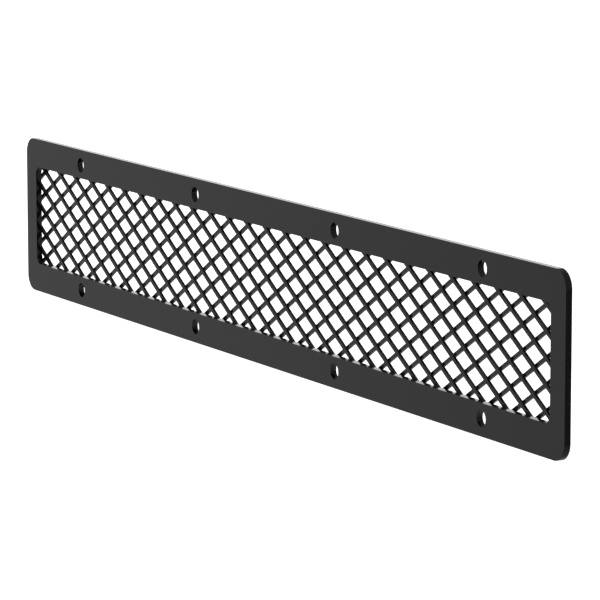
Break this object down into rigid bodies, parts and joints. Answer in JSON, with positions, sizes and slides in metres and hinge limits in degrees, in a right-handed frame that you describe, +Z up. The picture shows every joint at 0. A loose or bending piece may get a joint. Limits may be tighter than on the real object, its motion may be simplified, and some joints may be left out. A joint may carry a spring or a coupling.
{
  "type": "front grille guard",
  "caption": "Flat black steel cover plate with rounded corners, bolt holes along both long edges and a long window filled by a diamond mesh of crossed flat bars.",
  "frame": {"origin": "middle of the bolt pattern, on the face plate's back (mounting) face", "axes": "+X to the right of someone facing the guard, +Y backwards towards the vehicle, +Z up"},
  "size_m": [0.508, 0.0054, 0.078],
  "materials": {
    "plate_coat": "satin-gloss black powder coat",
    "mesh_coat": "satin-gloss black powder coat",
    "rod_coat": "satin-gloss black powder coat"
  },
  "bodies": {
    "root": {"edge_rod_bottom": "rod_coat", "edge_rod_left": "rod_coat", "edge_rod_right": "rod_coat", "edge_rod_top": "rod_coat", "face_plate": "plate_coat", "front_bar_01": "mesh_coat", "front_bar_02": "mesh_coat", "front_bar_03": "mesh_coat", "front_bar_04": "mesh_coat", "front_bar_05": "mesh_coat", "front_bar_06": "mesh_coat", "front_bar_07": "mesh_coat", "front_bar_08": "mesh_coat", "front_bar_09": "mesh_coat", "front_bar_10": "mesh_coat", "front_bar_11": "mesh_coat", "front_bar_12": "mesh_coat", "front_bar_13": "mesh_coat", "front_bar_14": "mesh_coat", "front_bar_15": "mesh_coat", "front_bar_16": "mesh_coat", "front_bar_17": "mesh_coat", "front_bar_18": "mesh_coat", "front_bar_19": "mesh_coat", "front_bar_20": "mesh_coat", "front_bar_21": "mesh_coat", "front_bar_22": "mesh_coat", "front_bar_23": "mesh_coat", "front_bars_left_corner": "mesh_coat", "front_bars_right_corner": "mesh_coat", "rear_bar_01": "mesh_coat", "rear_bar_02": "mesh_coat", "rear_bar_03": "mesh_coat", "rear_bar_04": "mesh_coat", "rear_bar_05": "mesh_coat", "rear_bar_06": "mesh_coat", "rear_bar_07": "mesh_coat", "rear_bar_08": "mesh_coat", "rear_bar_09": "mesh_coat", "rear_bar_10": "mesh_coat", "rear_bar_11": "mesh_coat", "rear_bar_12": "mesh_coat", "rear_bar_13": "mesh_coat", "rear_bar_14": "mesh_coat", "rear_bar_15": "mesh_coat", "rear_bar_16": "mesh_coat", "rear_bar_17": "mesh_coat", "rear_bar_18": "mesh_coat", "rear_bar_19": "mesh_coat", "rear_bar_20": "mesh_coat", "rear_bar_21": "mesh_coat", "rear_bar_22": "mesh_coat", "rear_bar_23": "mesh_coat", "rear_bars_left_corner": "mesh_coat", "rear_bars_right_corner": "mesh_coat", "tack_welds": "rod_coat"}
  },
  "joints": []
}
